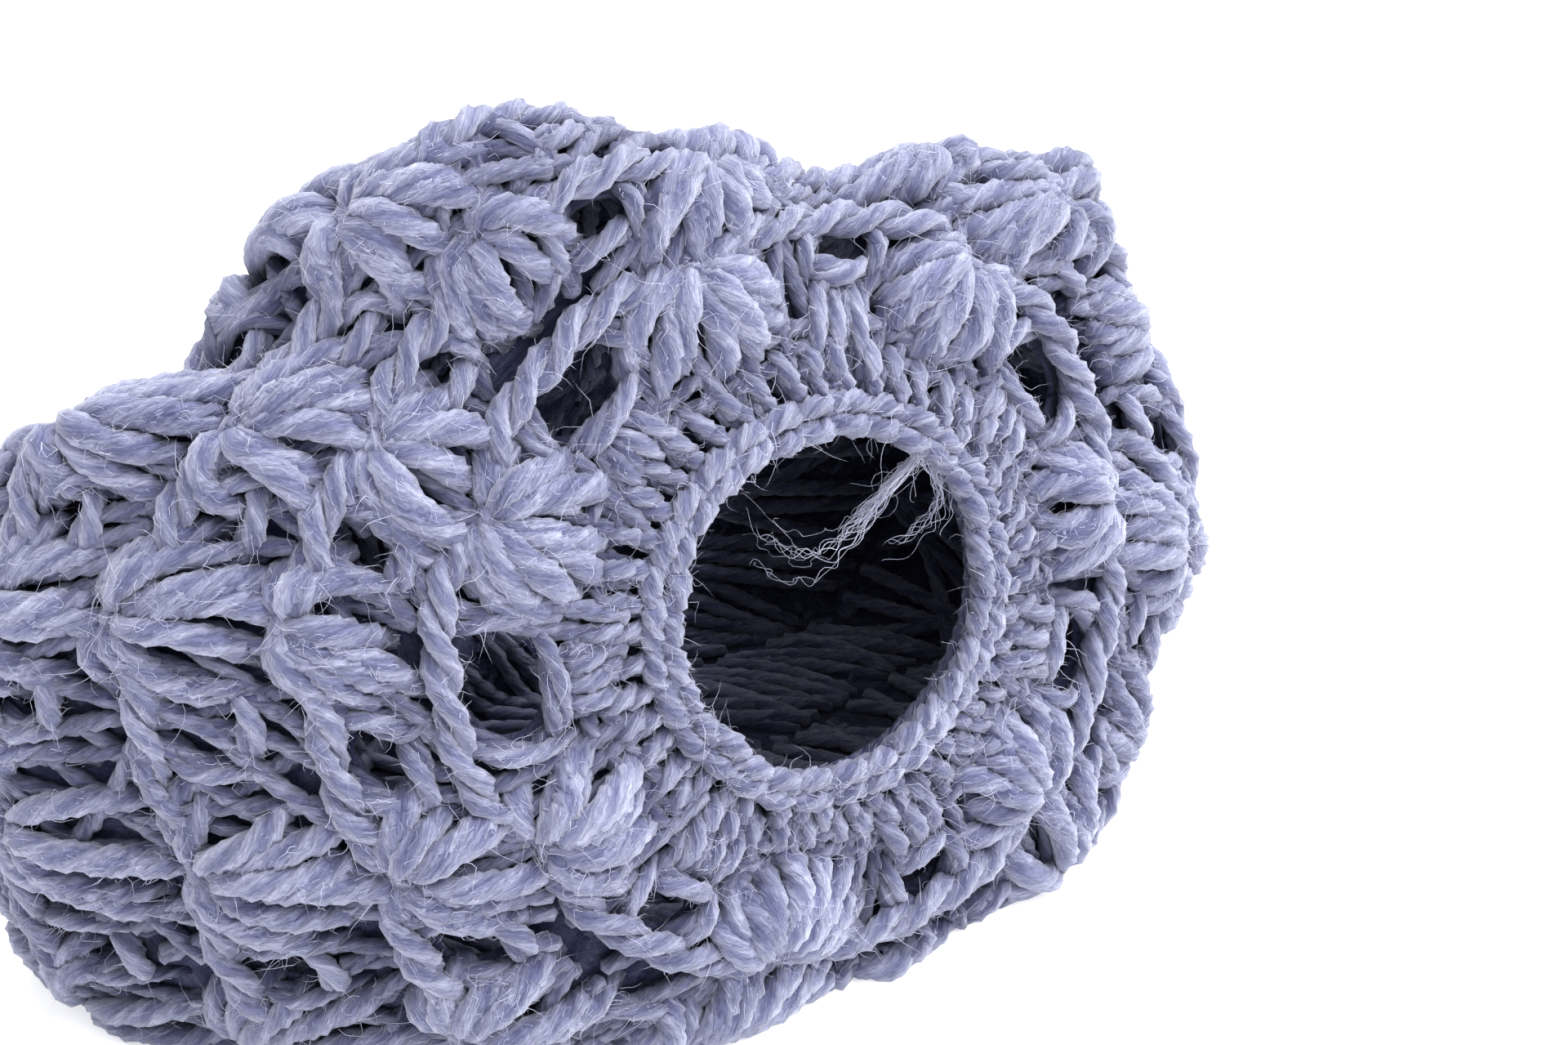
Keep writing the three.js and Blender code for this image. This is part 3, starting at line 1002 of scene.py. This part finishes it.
def wool():
    """Soft, loosely plied wool: streaks along the plies, with painted shade between the plies and
    in the crevices and inside of the fabric.
    """
    material, tree = new_material("wool")
    fibre = node(tree, "ShaderNodeAttribute", attribute_name="fibre").outputs["Vector"]
    tone = node(tree, "ShaderNodeAttribute", attribute_name="tone").outputs["Fac"]
    shade = node(tree, "ShaderNodeAttribute", attribute_name="shade").outputs["Fac"]
    place_on_hat = node(tree, "ShaderNodeTexCoord").outputs["Object"]

    # cos(3a) from cos(a): the yarn has three plies, and a is the angle round it.
    cos_a = node(tree, "ShaderNodeSeparateXYZ", {"Vector": fibre}).outputs["X"]
    cube = math_node(tree, "MULTIPLY", math_node(tree, "POWER", cos_a, 3.0), 4.0)
    ridge = math_node(tree, "SUBTRACT", cube, math_node(tree, "MULTIPLY", cos_a, 3.0))
    groove = node(tree, "ShaderNodeMapRange", {
        "Value": ridge, "From Min": -1.0, "From Max": 0.7, "To Min": 1.0, "To Max": 0.0,
    }, interpolation_type="SMOOTHSTEP").outputs["Result"]

    streaks = stretched_noise(tree, fibre, (3.0, 3.0, 0.28), 4.0, 0.7)
    fine = stretched_noise(tree, fibre, (8.0, 8.0, 0.8), 3.0, 1.0)
    patches = stretched_noise(tree, place_on_hat, (60.0, 60.0, 60.0), 2.0, 0.0)
    light = math_node(tree, "MULTIPLY_ADD", fine, 0.9, -0.4)
    light = math_node(tree, "MULTIPLY_ADD", streaks, 0.9, light)
    light = math_node(tree, "ADD", light, math_node(tree, "MULTIPLY_ADD", tone, 0.16, -0.08))
    light = math_node(tree, "ADD", light, math_node(tree, "MULTIPLY_ADD", patches, 0.3, -0.15))
    ramp = node(tree, "ShaderNodeValToRGB", {"Fac": light})
    elements = ramp.color_ramp.elements
    elements[0].position, elements[0].color = 0.2, (0.088, 0.094, 0.18, 1)
    elements[1].position, elements[1].color = 0.85, (0.45, 0.465, 0.61, 1)
    elements.new(0.5).color = (0.22, 0.23, 0.355, 1)

    # Painted shade: the colour is darkened in the grooves between plies and, by the shade
    # attribute, deep in the fabric.
    white = (1, 1, 1, 1)
    painted_ply_groove_shade = mix_colours(tree, groove, white, (0.5, 0.51, 0.64, 1))
    painted_crevice_shade = mix_colours(tree, shade, white, (0.1, 0.105, 0.17, 1))
    colour = mix_colours(tree, 1.0, ramp.outputs["Color"], painted_ply_groove_shade, "MULTIPLY")
    colour = mix_colours(tree, 1.0, colour, painted_crevice_shade, "MULTIPLY")

    height = math_node(tree, "MULTIPLY_ADD", streaks, 0.5, math_node(tree, "MULTIPLY", fine, 0.5))
    bump = node(tree, "ShaderNodeBump", {"Height": height, "Strength": 0.8, "Distance": 0.0006})
    # Painted shade also takes the sheen away in the crevices and inside of the fabric.
    down = math_node(tree, "MULTIPLY_ADD", shade, -0.9, 0.9)  # the soft down that catches light
    surface(tree, {
        "Base Color": colour, "Roughness": 0.95, "Normal": bump.outputs["Normal"],
        "Specular IOR Level": 0.03, "Sheen Weight": down, "Sheen Roughness": 0.5,
        "Sheen Tint": (0.8, 0.83, 0.95, 1),
    })
    return material


def loose_wool():
    """Single fibres, painted paler than the yarn to stand for the light that goes through them."""
    material, tree = new_material("loose_wool")
    place_on_hat = node(tree, "ShaderNodeTexCoord").outputs["Object"]
    patches = node(tree, "ShaderNodeTexNoise", {
        "Vector": place_on_hat, "Scale": 220.0, "Detail": 1.0,
    }).outputs["Fac"]
    colour = mix_colours(tree, patches, (0.33, 0.345, 0.53, 1), (0.8, 0.82, 0.98, 1))
    surface(tree, {
        "Base Color": colour, "Roughness": 0.7, "Specular IOR Level": 0.2, "Sheen Weight": 0.3,
    })
    return material


def white_paper():
    """The floor: a light table, so that shadows stay faint."""
    material, tree = new_material("white_paper")
    surface(tree, {
        "Base Color": (0.9, 0.9, 0.9, 1), "Roughness": 0.9, "Specular IOR Level": 0.1,
        "Emission Color": (1, 1, 1, 1), "Emission Strength": 0.5,
    })
    return material


# ------------------------------------------------------------
# The hat

WOOL = wool()
LOOSE_WOOL = loose_wool()


def make_pieces(cad_name, stitches, *args, loose_end=None):
    """The yarn and the fuzz that replace one CAD node."""
    skein = Skein()
    stitches(skein, *args)
    yarn = yarn_piece(cad_name + "_yarn", skein, WOOL)
    extra = loose_end() if loose_end else ()
    fuzz = fuzz_piece(cad_name + "_fuzz", skein, LOOSE_WOOL, extra)
    for piece in (yarn, fuzz):
        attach(piece, "root")
    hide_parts(cad_name)


make_pieces("hole_edging", hole_edging, loose_end=frayed_end)
for number in ROUNDS:
    make_pieces(f"shell_round_{number}", shell_round, number)
make_pieces("rim_band", rim_band)

# ------------------------------------------------------------
# Floor, light and camera

VIEW_AZIMUTH, VIEW_ELEVATION = math.radians(-33), math.radians(33)
VIEW_DISTANCE = 491  # from the middle of the hole
AXIS_LEFT, AXIS_UP = 8, 13  # the view's axis passes this far left of the hole's middle and above it
LENS, SENSOR = 70, 36
FLOOR_HALF = 6.0  # half the floor's side, in metres


def floor_piece():
    corners = [(x * FLOOR_HALF, y * FLOOR_HALF, 0) for x, y in ((-1, -1), (1, -1), (1, 1), (-1, 1))]
    mesh = bpy.data.meshes.new("floor")
    mesh.from_pydata(corners, [], [(0, 1, 2, 3)])
    mesh.materials.append(white_paper())
    floor = bpy.data.objects.new("floor", mesh)
    bpy.context.scene.collection.objects.link(floor)


def direction(azimuth, elevation):
    """A unit vector. azimuth is counted from the front, counterclockwise as seen from above."""
    return Vector((
        math.sin(azimuth) * math.cos(elevation),
        -math.cos(azimuth) * math.cos(elevation),
        math.sin(elevation),
    ))


def aimed(name, data, back):
    """An object that looks the opposite way to back."""
    made = bpy.data.objects.new(name, data)
    made.rotation_euler = (-back).to_track_quat("-Z", "Y").to_euler()
    bpy.context.scene.collection.objects.link(made)
    return made


def softbox(name, azimuth, elevation, strength, angle):
    light = bpy.data.lights.new(name, "SUN")
    light.energy = strength
    light.angle = math.radians(angle)
    aimed(name, light, direction(math.radians(azimuth), math.radians(elevation)))


def studio():
    world = bpy.data.worlds.new("studio")
    bpy.context.scene.world = world
    world.use_nodes = True
    background = world.node_tree.nodes["Background"]
    background.inputs["Color"].default_value = (1, 1, 1, 1)
    background.inputs["Strength"].default_value = 0.25
    softbox("right_softbox", azimuth=80, elevation=56, strength=6.0, angle=80)
    softbox("overhead_softbox", azimuth=0, elevation=88, strength=2.4, angle=100)
    bpy.context.scene.view_settings.view_transform = "Standard"


def camera():
    back = direction(VIEW_AZIMUTH, VIEW_ELEVATION)
    right = Vector((math.cos(VIEW_AZIMUTH), math.sin(VIEW_AZIMUTH), 0))
    up = back.cross(right)
    hole = Vector(SECTION_ROWS["hole_edge"][1:4]) + Vector(SHIFT)
    data = bpy.data.cameras.new("camera")
    data.lens, data.sensor_width = LENS, SENSOR
    data.clip_start = 0.01
    eye = aimed("camera", data, back)
    eye.location = (hole + back * VIEW_DISTANCE - right * AXIS_LEFT + up * AXIS_UP) * MM
    bpy.context.scene.camera = eye


floor_piece()
studio()
camera()
